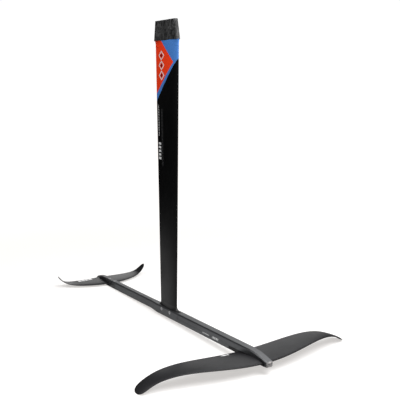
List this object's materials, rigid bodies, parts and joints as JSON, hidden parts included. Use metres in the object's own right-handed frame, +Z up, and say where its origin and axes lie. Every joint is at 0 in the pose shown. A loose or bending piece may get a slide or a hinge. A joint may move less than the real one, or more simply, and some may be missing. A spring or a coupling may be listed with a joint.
{
  "type": "hydrofoil mast and wing assembly",
  "caption": "Tall tapered carbon mast on a slim aluminium fuselage, with a drooped front wing and an upswept tail wing, all bolted together.",
  "frame": {"origin": "middle of the mast head's base, where the mast meets the board", "axes": "+Z up the mast into the board, -Y the way the foil travels, X across the wings; X = 0 is the plane of symmetry"},
  "size_m": [0.786, 1.1765, 1.074],
  "materials": {
    "mast_carbon": "satin carbon laminate, near black, with a red and blue printed panel under the head",
    "head_moulding": "matt compression-moulded laminate, mottled dark grey",
    "foam": "closed-cell foam",
    "stainless": "machined stainless steel",
    "anodised_aluminium": "satin black anodised",
    "wing_carbon": "satin moulded carbon",
    "shim_plastic": "plain black plastic"
  },
  "bodies": {
    "foil": {"mast_shell": "mast_carbon", "mast_core": "foam", "mast_head": "head_moulding", "mast_foot": "mast_carbon", "mast_foot_inserts": "stainless", "mast_bottom_bolts": "stainless", "mast_side_inserts": "stainless", "mast_side_screws": "stainless", "fuselage": "anodised_aluminium", "front_wing_shell": "wing_carbon", "front_wing_core_right": "foam", "front_wing_core_left": "foam", "front_wing_root_block": "head_moulding", "front_wing_bolts": "stainless", "front_wing_bolt_cups": "stainless", "front_wing_inserts": "stainless", "tail_wing": "wing_carbon", "tail_wing_shim": "shim_plastic", "tail_wing_inserts": "stainless", "tail_wing_screws": "stainless"},
    "front_nut": {"head_nut_front": "stainless"},
    "rear_nut": {"head_nut_rear": "stainless"}
  },
  "joints": [
    {"name": "front_nut_turn", "type": "hinge", "parent": "foil", "child": "front_nut", "pos_m": [0, -0.0425, 0.038], "axis": [1, 0, 0], "continuous": true},
    {"name": "rear_nut_turn", "type": "hinge", "parent": "foil", "child": "rear_nut", "pos_m": [0, 0.0425, 0.038], "axis": [1, 0, 0], "continuous": true}
  ]
}
